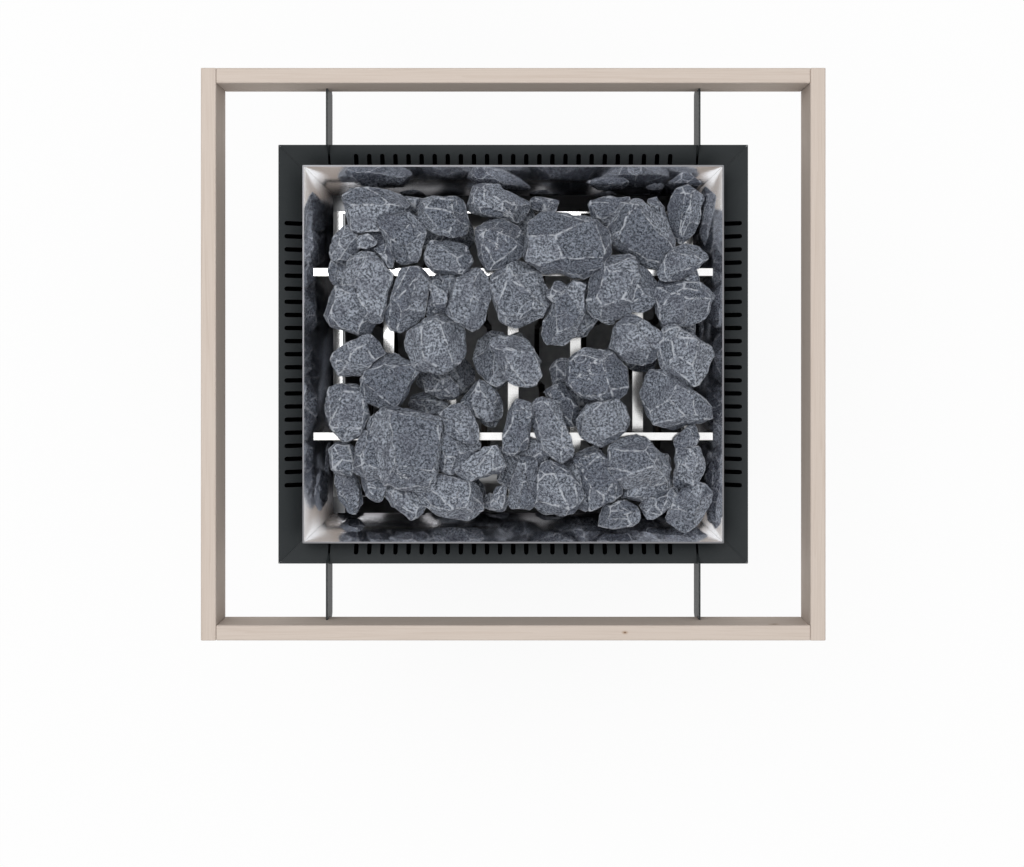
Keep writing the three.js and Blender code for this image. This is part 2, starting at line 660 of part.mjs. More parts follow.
// Guard timbers: side timbers run the full depth and the others butt between them
function timber(side) {
  const across = SIDES[side].alongX;
  const face = -(across ? RAIL_DEPTH : RAIL_WIDTH) / 2;
  const length = across ? RAIL_WIDTH - 2 * (TIMBER_THICKNESS + SEAT_GAP) : RAIL_DEPTH;
  const inner = face + TIMBER_THICKNESS;
  const c = TIMBER_CHAMFER;
  const section = [
    [face + c, RAIL_BOTTOM], [inner - c, RAIL_BOTTOM], [inner, RAIL_BOTTOM + c], [inner, RAIL_TOP - c],
    [inner - c, RAIL_TOP], [face + c, RAIL_TOP], [face, RAIL_TOP - c], [face, RAIL_BOTTOM + c],
  ];
  return alongX(section, length);
}

// Guard brackets: upright plates that hook over the casing and carry a timber on a tab
function guardBracket(x) {
  const face = -CASING_DEPTH / 2;
  const timberInner = face - RAIL_GAP;
  const under = RAIL_BOTTOM - SEAT_GAP;
  const bottom = BRACKET_TOP - BRACKET_HEIGHT;
  const notchOuter = face - HOOK_PLAY;
  const notchInner = face + SHEET + HOOK_PLAY;
  const notchTop = CASING_TOP + SEAT_GAP;
  const hookBottom = CASING_TOP - HOOK_DEPTH;
  const tip = timberInner - TIMBER_THICKNESS + CUT_MARGIN;
  const section = [
    [timberInner + SEAT_GAP, BRACKET_TOP],
    [timberInner + SEAT_GAP, under],
    [tip, under],
    [tip, under - BRACKET_THICKNESS],
    [timberInner + SEAT_GAP, bottom],
    [notchOuter, bottom],
    [notchOuter, notchTop],
    [notchInner, notchTop],
    [notchInner, hookBottom],
    [notchInner + HOOK_WIDTH / 2, hookBottom],
    [notchInner + HOOK_WIDTH, CASING_TOP - HOOK_WIDTH],
    [face + HOOK_SHOULDER, BRACKET_TOP],
  ];
  const plate = toSolid(alongX(section, BRACKET_THICKNESS));
  const half = BRACKET_THICKNESS / 2;
  const tabStart = timberInner - CUT_MARGIN;
  const tab = box(-half, TAB_WIDTH - half, tip, tabStart, under - BRACKET_THICKNESS, under);
  return toGeometry(plate.add(toSolid(tab))).translate(x, 0, 0);
}

// Repeatable random numbers for the stones' chips and facets.
function randomFrom(seed) {
  let state = seed * 2654435761 + 97;
  return () => {
    state = (Math.imul(state ^ (state >>> 15), 2246822519) + 3266489917) | 0;
    state = Math.imul(state ^ (state >>> 13), 3266489917);
    return ((state ^ (state >>> 16)) >>> 0) / 4294967296;
  };
}

// Stone outline in plan: a tapered block with each corner struck off by its own amount.
function stoneOutline(length, width, taper, random) {
  const far = (width / 2) * (1 - taper);
  const near = (width / 2) * (1 + taper);
  const corners = [[length / 2, far], [-length / 2, near], [-length / 2, -near], [length / 2, -far]];
  const points = [];
  for (let i = 0; i < corners.length; i++) {
    const here = new THREE.Vector2(...corners[i]);
    for (const next of [corners.at(i - 1), corners[(i + 1) % corners.length]]) {
      const share = 0.06 + 0.3 * random();
      points.push(here.clone().lerp(new THREE.Vector2(...next), share).multiplyScalar(0.93 + 0.13 * random()));
    }
  }
  return points;
}

// A stone is the hull of a worn upper facet, the full outline and a smaller foot.
function stoneGeometry([x, y, length, width, turn, taper], seed) {
  const random = randomFrom(seed + 1);
  const height = STONE_SLENDERNESS * Math.sqrt(length * width);
  const upper = seed >= LOWER_STONES.length;
  const large = upper && Math.sqrt(length * width) > LARGE_STONE;
  const spread = upper ? UPPER_SPREAD : LOWER_SPREAD;
  const plan = stoneOutline(length * spread, width * spread, taper, random);
  const lean = new THREE.Vector2(random() - 0.5, random() - 0.5).multiplyScalar(0.5);
  const points = [];
  plan.forEach((point, i) => {
    const crown = point.clone().multiplyScalar(0.76 + 0.16 * random());
    const crownHeight = height * (0.95 + 0.05 * random()) + lean.dot(crown);
    if (large || i % 2 === 1) points.push(new THREE.Vector3(crown.x, crown.y, crownHeight));
    points.push(new THREE.Vector3(point.x, point.y, height * (0.5 + 0.16 * random())));
    if (i % 2 === 0) {
      const foot = point.clone().multiplyScalar(0.52 + 0.1 * random());
      points.push(new THREE.Vector3(foot.x, foot.y, height * 0.06 * random()));
    }
  });
  const spot = [(x * WELL_WIDTH) / HEAP_WIDTH, (y * WELL_DEPTH) / HEAP_DEPTH];
  return new ConvexGeometry(points).rotateZ(turn * DEGREE).translate(...spot, 0);
}

// Corners, faces and edges of a convex solid, for finding where it lands.
function facetsOf(geometry) {
  const bare = geometry.clone();
  bare.deleteAttribute("normal");
  bare.deleteAttribute("uv");
  const merged = mergeVertices(bare, 1e-4);
  const place = merged.attributes.position;
  const corners = Array.from({ length: place.count }, (_, i) => new THREE.Vector3().fromBufferAttribute(place, i));
  const faces = [];
  const edges = [];
  for (let i = 0; i < merged.index.count; i += 3) {
    const [a, b, c] = [0, 1, 2].map((k) => merged.index.getX(i + k));
    faces.push([corners[a], corners[b], corners[c]]);
    for (const [p, q] of [[a, b], [b, c], [c, a]]) {
      if (p < q) edges.push([corners[p], corners[q]]);
    }
  }
  return { corners, faces, edges, bounds: new THREE.Box3().setFromPoints(corners) };
}

function planArea(a, b, c) {
  return (b.x - a.x) * (c.y - a.y) - (b.y - a.y) * (c.x - a.x);
}

// Heights at which a vertical line through (x, y) meets the solid, or null beside it.
function heightsAt(solid, point) {
  let [low, high] = [Infinity, -Infinity];
  for (const [a, b, c] of solid.faces) {
    const whole = planArea(a, b, c);
    if (Math.abs(whole) < 1e-6) continue;
    const u = planArea(point, b, c) / whole;
    const v = planArea(a, point, c) / whole;
    const w = 1 - u - v;
    if (Math.min(u, v, w) < -1e-9) continue;
    const z = u * a.z + v * b.z + w * c.z;
    low = Math.min(low, z);
    high = Math.max(high, z);
  }
  return low <= high ? { low, high } : null;
}

// How far the upper solid has to be raised so that it just touches the lower one.
function landing(upper, lower) {
  let lift = -Infinity;
  const apart =
    upper.bounds.min.x > lower.bounds.max.x || upper.bounds.max.x < lower.bounds.min.x ||
    upper.bounds.min.y > lower.bounds.max.y || upper.bounds.max.y < lower.bounds.min.y;
  if (apart) return lift;
  for (const corner of upper.corners) {
    const met = heightsAt(lower, corner);
    if (met) lift = Math.max(lift, met.high - corner.z);
  }
  for (const corner of lower.corners) {
    const met = heightsAt(upper, corner);
    if (met) lift = Math.max(lift, corner.z - met.low);
  }
  for (const [a, b] of upper.edges) {
    for (const [c, d] of lower.edges) {
      const [sideC, sideD] = [planArea(a, b, c), planArea(a, b, d)];
      const [sideA, sideB] = [planArea(c, d, a), planArea(c, d, b)];
      if (sideC * sideD >= 0 || sideA * sideB >= 0) continue;
      const upperZ = a.z + ((b.z - a.z) * sideA) / (sideA - sideB);
      const lowerZ = c.z + ((d.z - c.z) * sideC) / (sideC - sideD);
      lift = Math.max(lift, lowerZ - upperZ);
    }
  }
  return lift;
}

// Wedge of solid ground under one leaning collar wall.
function collarGround(side) {
  const face = -(SIDES[side].alongX ? WELL_DEPTH : WELL_WIDTH) / 2;
  const floor = GRATE_TOP - GRATE_THICKNESS;
  const section = [
    [face, floor], [face, COLLAR_BOTTOM], [face - COLLAR_RUN, COLLAR_RIM],
    [face - 2 * COLLAR_RUN, COLLAR_RIM], [face - 2 * COLLAR_RUN, floor],
  ];
  return alongX(section, WELL_WIDTH + 4 * COLLAR_RUN).rotateZ(SIDES[side].turn);
}

// The heap is lower in the well's corners than along its sides.
function heapTopAt([x, y]) {
  const cornered = (2 * x / HEAP_WIDTH) * (2 * y / HEAP_DEPTH);
  return HEAP_TOP - HEAP_CORNER_DROP * cornered ** 2;
}

// Stones are laid one by one. Each sinks a little into the stone that carries it and is fused there.
function stoneGroups(barGeometries) {
  const halfX = GRATE_WIDTH / 2;
  const halfY = GRATE_DEPTH / 2;
  const ground = [
    box(-halfX, halfX, -halfY, halfY, GRATE_BOTTOM, GRATE_TOP),
    ...barGeometries,
    ...Object.keys(SIDES).map(collarGround),
  ].map(facetsOf);
  const laid = [];
  let groups = [];
  [...LOWER_STONES, ...UPPER_STONES].forEach((row, seed) => {
    const geometry = stoneGeometry(row, seed);
    const shape = facetsOf(geometry);
    const groundLift = Math.max(...ground.map((solid) => landing(shape, solid))) + SEAT_GAP;
    const lifts = laid.map((stone) => landing(shape, stone.shape));
    const stoneLift = Math.max(-Infinity, ...lifts);
    const settled = Math.min(stoneLift - STONE_FUSE_DEPTH, heapTopAt(row) - shape.bounds.max.z);
    let lift = Math.max(groundLift, settled);
    const drops = laid.map((stone) => landing(stone.shape, shape));
    const depth = (i) => Math.min(lifts[i] - lift, drops[i] + lift);
    if (!laid.some((_, i) => depth(i) > 0)) {
      const seats = lifts.map((one) => one - STONE_FUSE_DEPTH).filter((one) => one <= lift);
      lift = Math.max(groundLift, ...seats);
    }
    const grazes = (_, i) => depth(i) > -SEAT_GAP && depth(i) < STONE_FUSE_LEAST;
    while (laid.some(grazes)) lift += STONE_FUSE_STEP;
    geometry.translate(0, 0, lift);
    const stone = { shape: facetsOf(geometry), solid: toSolid(geometry) };
    const carriers = laid.filter((_, i) => depth(i) > 0);
    const joined = groups.filter((group) => group.some((member) => carriers.includes(member)));
    groups = groups.filter((group) => !joined.includes(group));
    groups.push([...joined.flat(), stone]);
    laid.push(stone);
  });
  return groups.map((group) => toGeometry(group.map((stone) => stone.solid).reduce((a, b) => a.add(b))));
}

// Assembly
for (const [side, { turn }] of Object.entries(SIDES)) {
  addPiece(`casing_${side}`, casingPanel(side), materials.anthracite, turn);
  addPiece(`collar_${side}`, collarWall(side), materials.polished, turn);
  addPiece(`chamber_${side}`, chamberWall(side), materials.steel, turn);
  addPiece(`rail_${side}`, timber(side), materials.timber, turn);
}

const bars = { front: crossBar(-BAR_SPACING / 2), back: crossBar(BAR_SPACING / 2) };
for (const [side, geometry] of Object.entries(bars)) {
  addPiece(`cross_bar_${side}`, geometry, materials.polished);
}
addPiece("stone_grate", stoneGrate(), materials.polished);

elementPlaces().forEach((x, i) => {
  addPiece(`heating_element_${i + 1}`, heatingElement(x), materials.element);
});
addPiece("element_carrier", elementCarrier(), materials.steel);
addPiece("terminal_box", terminalBox(), materials.steel);
addPiece("terminal_cover", terminalCover(), materials.steel);
addPiece("terminal_block", terminalBlock(), materials.ceramic);
addPiece("cable_gland", cableGland(), materials.plastic);
addPiece("base_frame", baseFrame(), materials.anthracite);

for (const [place, [x, y]] of Object.entries(footPlaces())) {
  addPiece(`foot_${place}`, levellingFoot(x, y), materials.steel);
}

for (const side of ["front", "back"]) {
  for (const [hand, x] of [["left", -BRACKET_X], ["right", BRACKET_X]]) {
    const local = side === "front" ? x : -x;
    addPiece(`bracket_${side}_${hand}`, guardBracket(local), materials.bracket, SIDES[side].turn);
  }
}

stoneGroups(Object.values(bars)).forEach((geometry, i) => {
  addPiece(`stones_${String(i + 1).padStart(2, "0")}`, geometry, materials.stone);
});

export default stove;
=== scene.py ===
"""Looks of the sauna heater stove: stones, timber, metals, fasteners, stage and camera."""
import json
import math

import bmesh
import bpy
import numpy as np
from mathutils import Matrix, Vector


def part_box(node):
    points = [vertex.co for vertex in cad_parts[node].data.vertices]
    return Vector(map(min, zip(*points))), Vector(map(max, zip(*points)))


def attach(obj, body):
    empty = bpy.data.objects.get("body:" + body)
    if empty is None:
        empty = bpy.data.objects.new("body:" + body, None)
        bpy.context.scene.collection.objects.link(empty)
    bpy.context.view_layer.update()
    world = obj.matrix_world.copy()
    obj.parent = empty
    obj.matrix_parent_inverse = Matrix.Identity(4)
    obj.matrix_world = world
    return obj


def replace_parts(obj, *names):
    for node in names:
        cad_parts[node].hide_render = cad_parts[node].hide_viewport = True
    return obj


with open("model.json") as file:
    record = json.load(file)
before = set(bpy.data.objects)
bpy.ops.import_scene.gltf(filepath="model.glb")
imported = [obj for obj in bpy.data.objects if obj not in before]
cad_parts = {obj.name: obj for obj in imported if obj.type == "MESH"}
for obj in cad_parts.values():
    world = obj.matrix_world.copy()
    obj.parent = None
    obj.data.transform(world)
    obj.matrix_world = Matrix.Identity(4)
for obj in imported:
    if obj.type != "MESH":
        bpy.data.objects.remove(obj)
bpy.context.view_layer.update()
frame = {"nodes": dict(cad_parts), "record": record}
NODES = frame["nodes"]

# Photograph's frame and camera
IMAGE_WIDTH = 1024
IMAGE_HEIGHT = 867
FOCAL_PX = 1599
CENTRE_PX = (513.2, 354.2)
SENSOR_MM = 36
CAMERA_HEIGHT = 2.615

# Places in metres, taken from the frame
RAIL_LOW, RAIL_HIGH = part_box("rail_right")
RAIL_X = RAIL_HIGH[0]
RAIL_Y = RAIL_HIGH[1]
RAIL_TOP = RAIL_HIGH[2]
RAIL_BOTTOM = RAIL_LOW[2]
TIMBER = RAIL_X - RAIL_LOW[0]
CASING_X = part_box("casing_right")[1][0]
CASING_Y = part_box("casing_back")[1][1]
COLLAR_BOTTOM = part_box("collar_front")[0][2]
COVER_LOW, COVER_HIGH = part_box("terminal_cover")


# Node helpers

def new_material(name):
    material = bpy.data.materials.new(name)
    material.use_nodes = True
    material.node_tree.nodes.clear()
    return material, material.node_tree


def add(tree, kind, inputs=None, **settings):
    """A shader node. An input is either a plain value or another node's output, which is linked."""
    node = tree.nodes.new("ShaderNode" + kind)
    for key, value in settings.items():
        setattr(node, key, value)
    for key, value in (inputs or {}).items():
        if isinstance(value, bpy.types.NodeSocket):
            tree.links.new(value, node.inputs[key])
        else:
            node.inputs[key].default_value = value
    return node


def mix(tree, factor, first, second):
    return add(tree, "Mix", {0: factor, 6: first, 7: second}, data_type="RGBA").outputs[2]


def math_node(tree, operation, first, second=0.0):
    return add(tree, "Math", {0: first, 1: second}, operation=operation).outputs[0]


def vector_node(tree, operation, first, second=(0, 0, 0)):
    return add(tree, "VectorMath", {0: first, 1: second}, operation=operation).outputs


def height_of(tree, vector):
    return add(tree, "SeparateXYZ", {0: vector}).outputs["Z"]


def ramp(tree, value, low, high, to_low=0.0, to_high=1.0):
    inputs = {"Value": value, "From Min": low, "From Max": high, "To Min": to_low, "To Max": to_high}
    return add(tree, "MapRange", inputs, interpolation_type="SMOOTHSTEP").outputs["Result"]


def place(tree, scale=(1, 1, 1), shift=(0, 0, 0)):
    coordinates = add(tree, "TexCoord").outputs["Object"]
    return add(tree, "Mapping", {"Vector": coordinates, "Scale": scale, "Location": shift}).outputs[0]


def noise(tree, vector, scale, detail=4.0, roughness=0.55, distortion=0.0):
    inputs = {
        "Vector": vector,
        "Scale": scale,
        "Detail": detail,
        "Roughness": roughness,
        "Distortion": distortion,
    }
    return add(tree, "TexNoise", inputs).outputs["Fac"]


def bump(tree, height, strength, distance, below=None):
    inputs = {"Height": height, "Strength": strength, "Distance": distance}
    if below is not None:
        inputs["Normal"] = below
    return add(tree, "Bump", inputs).outputs["Normal"]


def surface(tree, inputs):
    shader = add(tree, "BsdfPrincipled", inputs)
    output = add(tree, "OutputMaterial")
    tree.links.new(shader.outputs[0], output.inputs["Surface"])


def rgb(red, green, blue):
    return (red, green, blue, 1.0)


# Materials

def powder_coat():
    material, tree = new_material("powder_coat")
    here = place(tree)
    cloud = noise(tree, here, 9.0)
    grain = noise(tree, here, 900.0, 2.0)
    dark = rgb(0.017, 0.021, 0.023)
    light = rgb(0.024, 0.028, 0.030)
    fleck = rgb(0.048, 0.053, 0.056)
    colour = mix(tree, ramp(tree, cloud, 0.3, 0.7), dark, light)
    colour = mix(tree, ramp(tree, grain, 0.55, 0.8, 0.0, 0.35), colour, fleck)
    surface(tree, {
        "Base Color": colour,
        "Roughness": ramp(tree, grain, 0.2, 0.8, 0.42, 0.6),
        "Specular IOR Level": 0.3,
        "Normal": bump(tree, grain, 0.25, 0.0004),
    })
    return material


# Collar: how far its shading leans towards +Z, as a bowed sheet's does, and the height over which
# painted shade darkens its lower edge
COLLAR_BOW = 0.22
LOWER_SHADE_HEIGHT = 0.030


def polished_collar():
    """Polished steel, darkened by painted shade towards its lower edge; the cut edge of its top is rough
    and darkened by painted shade.
    """
    material, tree = new_material("polished_collar")
    here = place(tree)
    smear = noise(tree, here, 18.0, 6.0, 0.6)
    scratch = noise(tree, place(tree, (40, 900, 900)), 1.0, 3.0)
    wave = noise(tree, here, 7.0, 2.0)
    facing = add(tree, "NewGeometry").outputs["Normal"]
    leaning = vector_node(tree, "ADD", facing, (0, 0, COLLAR_BOW))[0]
    leaning = vector_node(tree, "NORMALIZE", leaning)[0]
    normal = bump(tree, wave, 0.04, 0.004, leaning)
    normal = bump(tree, scratch, 0.04, 0.0003, normal)
    clean = rgb(0.93, 0.93, 0.95)
    smeared = rgb(0.8649, 0.8649, 0.8835)
    painted_shade_tone = rgb(0.045, 0.043, 0.046)
    shaded_cut_edge = rgb(0.20, 0.20, 0.21)
    # Painted shade: the steel turns nearly black towards its lower edge, as if shaded there
    lower_shade = ramp(tree, height_of(tree, here), COLLAR_BOTTOM, COLLAR_BOTTOM + LOWER_SHADE_HEIGHT, 0.95, 0.0)
    # Partly real, partly painted: the upward cut edge is rougher, and its dark tone is painted shade
    # that hides the sky's reflection
    top_edge = ramp(tree, height_of(tree, facing), 0.90, 0.97)
    colour = mix(tree, ramp(tree, smear, 0.35, 0.7), clean, smeared)
    colour = mix(tree, lower_shade, colour, painted_shade_tone)
    colour = mix(tree, top_edge, colour, shaded_cut_edge)
    shine = ramp(tree, smear, 0.3, 0.8, 0.07, 0.14)
    shine = math_node(tree, "ADD", shine, math_node(tree, "MULTIPLY", top_edge, 0.35))
    surface(tree, {
        "Base Color": colour,
        "Metallic": 1.0,
        "Roughness": shine,
        "Normal": normal,
    })
    return material


def bright_strip():
    """Flat steel strip: bright on top, and on its sides rougher, stained and darkened with painted
    shade.
    """
    material, tree = new_material("bright_strip")
    stain = noise(tree, place(tree), 30.0, 5.0, 0.6)
    scratch = noise(tree, place(tree, (60, 900, 900)), 1.0, 3.0)
    facing = add(tree, "NewGeometry").outputs["Normal"]
    top = ramp(tree, height_of(tree, facing), 0.6, 0.95)
    patch = ramp(tree, stain, 0.35, 0.7)
    bright = mix(tree, patch, rgb(0.93, 0.93, 0.93), rgb(0.85, 0.85, 0.84))
    # Painted shade: the sides are nearly black, as if in shadow under the bright top, with stain patches
    # in it
    shaded_sides = mix(tree, patch, rgb(0.045, 0.044, 0.043), rgb(0.095, 0.092, 0.088))
    surface(tree, {
        "Base Color": mix(tree, top, shaded_sides, bright),
        "Metallic": 1.0,
        "Roughness": ramp(tree, top, 0.0, 1.0, 0.55, 0.16),
        "Normal": bump(tree, scratch, 0.06, 0.0003),
    })
    return material


def plain_metal(name, dark, light, rough):
    material, tree = new_material(name)
    patch = noise(tree, place(tree), 22.0, 6.0, 0.65)
    fine = noise(tree, place(tree, (300, 300, 1800)), 1.0, 3.0)
    surface(tree, {
        "Base Color": mix(tree, ramp(tree, patch, 0.3, 0.72), dark, light),
        "Metallic": 1.0,
        "Roughness": ramp(tree, patch, 0.25, 0.75, rough - 0.08, rough + 0.1),
        "Normal": bump(tree, fine, 0.12, 0.0004),
    })
    return material


def plain_body(name, dark, light, rough):
    material, tree = new_material(name)
    here = place(tree)
    patch = noise(tree, here, 60.0, 5.0)
    fine = noise(tree, here, 1400.0, 2.0)
    surface(tree, {
        "Base Color": mix(tree, ramp(tree, patch, 0.3, 0.7), dark, light),
        "Roughness": ramp(tree, fine, 0.3, 0.7, rough - 0.06, rough + 0.06),
        "Normal": bump(tree, fine, 0.2, 0.0002),
    })
    return material


# Knots of the timbers: places and radii in metres, for the timbers along X and along Y
KNOTS_X = [
    ((0.291, -0.301, 0.832), 0.0022),
    ((0.124, -0.309, 0.840), 0.0012),
    ((-0.160, -0.318, 0.806), 0.0050),
    ((0.212, 0.318, 0.801), 0.0055),
]
KNOTS_Y = [
    ((-0.347, 0.122, 0.809), 0.0050),
    ((0.347, -0.078, 0.815), 0.0045),
]
KNOT_LENGTHENING = 0.55


def along_grain(along_x, lengthwise, crosswise):
    """Scales of a pattern that is drawn out along a timber's grain."""
    if along_x:
        return (lengthwise, crosswise, crosswise)
    return (crosswise, lengthwise, crosswise)


def with_knot(tree, colour, centre, radius, squeeze):
    """A timber's colour with one dark knot in a brown halo."""
    bark = rgb(0.400, 0.280, 0.190)
    heart = rgb(0.150, 0.085, 0.050)
    coordinates = add(tree, "TexCoord").outputs["Object"]
    offset = vector_node(tree, "SUBTRACT", coordinates, centre)[0]
    offset = vector_node(tree, "MULTIPLY", offset, squeeze)[0]
    reach = vector_node(tree, "LENGTH", offset)["Value"]
    wobble = math_node(tree, "MULTIPLY", noise(tree, place(tree), 220.0, 2.0), radius * 0.7)
    reach = math_node(tree, "ADD", reach, wobble)
    halo = ramp(tree, reach, radius, radius * 2.6, 0.7, 0.0)
    core = ramp(tree, reach, radius * 0.7, radius * 1.2, 0.9, 0.0)
    return mix(tree, core, mix(tree, halo, colour, bark), heart)


def timber(name, along_x, knots):
    """Pale limed softwood. Its grain runs along X or along Y."""
    material, tree = new_material(name)
    rings = place(tree, along_grain(along_x, 1.6, 60.0), (3.1, 1.7, 0.4))
    rings = noise(tree, rings, 1.0, 3.0, 0.5, 0.6)
    rings = math_node(tree, "FRACT", math_node(tree, "MULTIPLY", rings, 9.0))
    fibre = noise(tree, place(tree, along_grain(along_x, 14.0, 900.0)), 1.0, 4.0, 0.6)
    pores = noise(tree, place(tree, along_grain(along_x, 40.0, 1500.0)), 1.0, 2.0)
    cloud = noise(tree, place(tree), 6.0, 3.0)
    early_wood = rgb(0.630, 0.545, 0.480)
    late_wood = rgb(0.515, 0.425, 0.358)
    fibre_tone = rgb(0.505, 0.420, 0.358)
    pore_tone = rgb(0.380, 0.305, 0.245)
    limed_tone = rgb(0.650, 0.570, 0.508)
    colour = mix(tree, ramp(tree, rings, 0.55, 1.0, 0.0, 0.3), early_wood, late_wood)
    colour = mix(tree, ramp(tree, fibre, 0.40, 0.75, 0.0, 0.4), colour, fibre_tone)
    colour = mix(tree, ramp(tree, pores, 0.62, 0.8, 0.0, 0.2), colour, pore_tone)
    colour = mix(tree, ramp(tree, cloud, 0.35, 0.75, 0.0, 0.25), colour, limed_tone)
    for centre, radius in knots:
        squeeze = along_grain(along_x, KNOT_LENGTHENING, 1.0)
        colour = with_knot(tree, colour, centre, radius, squeeze)
    normal = bump(tree, fibre, 0.25, 0.0005)
    normal = bump(tree, pores, 0.2, 0.0003, normal)
    surface(tree, {
        "Base Color": colour,
        "Roughness": ramp(tree, fibre, 0.2, 0.8, 0.62, 0.8),
        "Specular IOR Level": 0.2,
        "Normal": normal,
    })
    return material


def rock():
    """Broken grey rock: fine speckle and pale veins, with the mesh's own worn edges and facet tints."""
    material, tree = new_material("rock")
    here = place(tree)
    edge = add(tree, "Attribute", attribute_name="edge").outputs["Fac"]
    tint = add(tree, "Attribute", attribute_name="tint").outputs["Fac"]
    cloud = noise(tree, here, 45.0, 5.0, 0.6, 0.3)
    speck = noise(tree, place(tree, (1.0, 1.0, 1.6)), 360.0, 5.0, 0.74)
    dust = noise(tree, here, 900.0, 2.0, 0.6)
    shade_tone = rgb(0.066, 0.070, 0.094)
    dust_tone = rgb(0.400, 0.432, 0.480)
    vein_tone = rgb(0.560, 0.580, 0.620)
    worn_tone = rgb(0.500, 0.525, 0.570)
    grain = ramp(tree, speck, 0.42, 0.60)
    smooth_break = mix(tree, grain, rgb(0.015, 0.019, 0.029), rgb(0.168, 0.190, 0.234))
    rough_break = mix(tree, grain, rgb(0.038, 0.044, 0.058), rgb(0.385, 0.420, 0.482))
    colour = mix(tree, ramp(tree, tint, 0.15, 0.85), smooth_break, rough_break)
    colour = mix(tree, ramp(tree, cloud, 0.40, 0.66, 0.0, 0.5), colour, shade_tone)
    colour = mix(tree, ramp(tree, dust, 0.54, 0.66, 0.0, 0.55), colour, dust_tone)
    vein = noise(tree, place(tree, (1, 1.7, 1.3), (0.7, 0.2, 0.5)), 24.0, 4.0, 0.5, 0.4)
    vein = math_node(tree, "ABSOLUTE", math_node(tree, "SUBTRACT", vein, 0.5))
    gate = ramp(tree, noise(tree, here, 15.0, 2.0), 0.54, 0.62)
    vein = math_node(tree, "MULTIPLY", ramp(tree, vein, 0.001, 0.006, 0.75, 0.0), gate)
    colour = mix(tree, vein, colour, vein_tone)
    wear = ramp(tree, noise(tree, here, 130.0, 5.0, 0.7), 0.36, 0.60, 0.1, 1.0)
    worn = math_node(tree, "MULTIPLY", edge, wear)
    colour = mix(tree, ramp(tree, worn, 0.25, 1.0, 0.0, 0.75), colour, worn_tone)
    normal = bump(tree, cloud, 0.25, 0.003)
    normal = bump(tree, speck, 0.45, 0.0012, normal)
    normal = bump(tree, dust, 0.25, 0.0004, normal)
    surface(tree, {
        "Base Color": colour,
        "Roughness": ramp(tree, speck, 0.2, 0.8, 0.72, 0.95),
        "Specular IOR Level": 0.3,
        "Normal": normal,
    })
    return material


LOOKS = {
    "anthracite": powder_coat(),
    "collar": polished_collar(),
    "strip": bright_strip(),
    "steel": plain_metal("zinc_sheet", rgb(0.20, 0.205, 0.215), rgb(0.36, 0.365, 0.375), 0.42),
    "element": plain_metal("element_tube", rgb(0.035, 0.030, 0.027), rgb(0.10, 0.085, 0.075), 0.5),
    "plastic": plain_body("gland_plastic", rgb(0.010, 0.011, 0.012), rgb(0.018, 0.019, 0.020), 0.5),
    "ceramic": plain_body("ceramic", rgb(0.74, 0.69, 0.59), rgb(0.82, 0.78, 0.69), 0.45),
    "timber_x": timber("timber_x", True, KNOTS_X),
    "timber_y": timber("timber_y", False, KNOTS_Y),
    "stone": rock(),
    "screw": plain_metal("screw_steel", rgb(0.30, 0.30, 0.31), rgb(0.48, 0.48, 0.49), 0.35),
}


def look_of(node, slot):
    if node.startswith("collar"):
        return LOOKS["collar"]
    if node == "stone_grate" or node.startswith("cross_bar"):
        return LOOKS["strip"]
    if node.startswith("bracket"):
        return LOOKS["anthracite"]
    if node in ("rail_front", "rail_back"):
        return LOOKS["timber_x"]
    if node in ("rail_left", "rail_right"):
        return LOOKS["timber_y"]
    return LOOKS[slot]


SLOT_OF = {row["node"]: row["material_slot"] for row in frame["record"]["subparts"]}
for name, cad in NODES.items():
    cad.data.materials.clear()
    cad.data.materials.append(look_of(name, SLOT_OF[name]))


# New pieces

def make_piece(name, mesh, material, body):
    piece = bpy.data.objects.new(name, mesh)
    bpy.context.scene.collection.objects.link(piece)
    mesh.materials.append(material)
    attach(piece, body)
    return piece


# Stones: each stone of a node is found again and made as one broken rock

# What counts as one corner, as lying flat, and as a stone rather than a splinter where two stones join
SAME_CORNER = 2e-6
LYING_FLAT = 2e-6
LEAST_CORNERS = 8
LEAST_STONE = 0.012

# Chips: least and most lean from +Z in radians, then least and most share of the stone's reach
STRUCK_FACES = [(0.15, 0.45, 0.60, 0.88)] * 2
SLOPES = [(0.50, 0.95, 0.50, 0.86)] * 4
EDGE_CHIPS = [(0.80, 1.20, 0.82, 0.96)] * 3
SIDE_CHIPS = 6
SIDE_RISE = (-0.35, 0.25)
SIDE_SHARE = (0.91, 0.99)

# Facets and the worn edges between them
JOINED_ANGLE = math.radians(7)
JOINED_LENGTH = 0.0012
FACET_ANGLE = math.radians(11)
WORN_EDGE = 0.0006

# Length of the triangles' sides, finer for stones that reach above a height
FINE_CELL = 0.0034
COARSE_CELL = 0.0060
FINE_ABOVE = 0.770
CUTTING_ROUNDS = 6

# Relief: the length that each kind varies over, and its depth
SWELL_CELL = 0.016
SWELL_DEPTH = 0.0017
KNOB_CELL = 0.0065
KNOB_DEPTH = 0.0010
STEP_CELL = 0.015
STEP_STRETCH = (1.0, 1.5, 2.0)
STEP_LEVELS = 2.5
STEP_DEPTH = 0.0005
GRAIN_CELL = 0.0042
GRAIN_DEPTH = 0.00028
SHRINKING = 0.0006

# Shares of a facet's tint that its stone and the facet itself decide
STONE_TINT = 0.4
FACET_TINT = 0.6

# Random numbers
FIRST_SEED = 3
SEED_STEP = 101
PATTERN_SPAN = 5
LATTICE_ORIGIN = 1000.0
AXIS_PRIMES = (73856093, 19349663, 83492791)
SEED_PRIME = 2654435
STIR_PRIME = 1274126177


